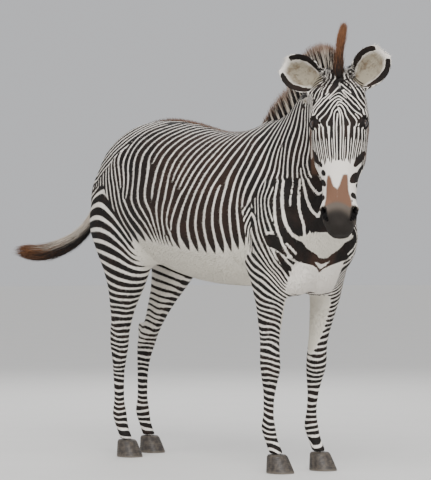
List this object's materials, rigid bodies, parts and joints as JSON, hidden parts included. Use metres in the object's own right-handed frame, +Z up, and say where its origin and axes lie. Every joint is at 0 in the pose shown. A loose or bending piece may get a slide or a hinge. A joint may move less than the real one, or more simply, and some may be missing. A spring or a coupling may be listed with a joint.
{
  "type": "zebra",
  "caption": "Life-size standing model of a Grevy's zebra with its head turned to its right and its tail swung aside, for a museum display.",
  "frame": {"origin": "on the floor, under the middle of the outline's bounding box", "axes": "+Z up; the zebra's trunk faces -Y; its left side is +X and its right side, to which the head is turned, is -X"},
  "size_m": [0.6029, 2.0995, 1.7784],
  "materials": {
    "coat": "short fur, striped black-brown and cream white, with stuffed flesh under it",
    "mane": "stiff standing hair, banded dark and pale with brown tips",
    "tail_hair": "long hair, pale above, dark below, brown at the end",
    "eye": "dark, wet gloss",
    "hoof": "horn, dark grey, satin"
  },
  "bodies": {
    "root": {"head": "coat", "neck": "coat", "trunk": "coat", "tail": "coat", "tail_tuft": "tail_hair", "ear_left": "coat", "ear_right": "coat", "eye_left": "eye", "eye_right": "eye", "mane": "mane", "forelock": "mane", "dorsal_fringe": "mane", "foreleg_left_upper": "coat", "foreleg_left_lower": "coat", "foreleg_right_upper": "coat", "foreleg_right_lower": "coat", "hindleg_left_upper": "coat", "hindleg_left_lower": "coat", "hindleg_right_upper": "coat", "hindleg_right_lower": "coat", "hoof_fore_left": "hoof", "hoof_fore_right": "hoof", "hoof_hind_left": "hoof", "hoof_hind_right": "hoof"}
  },
  "joints": []
}
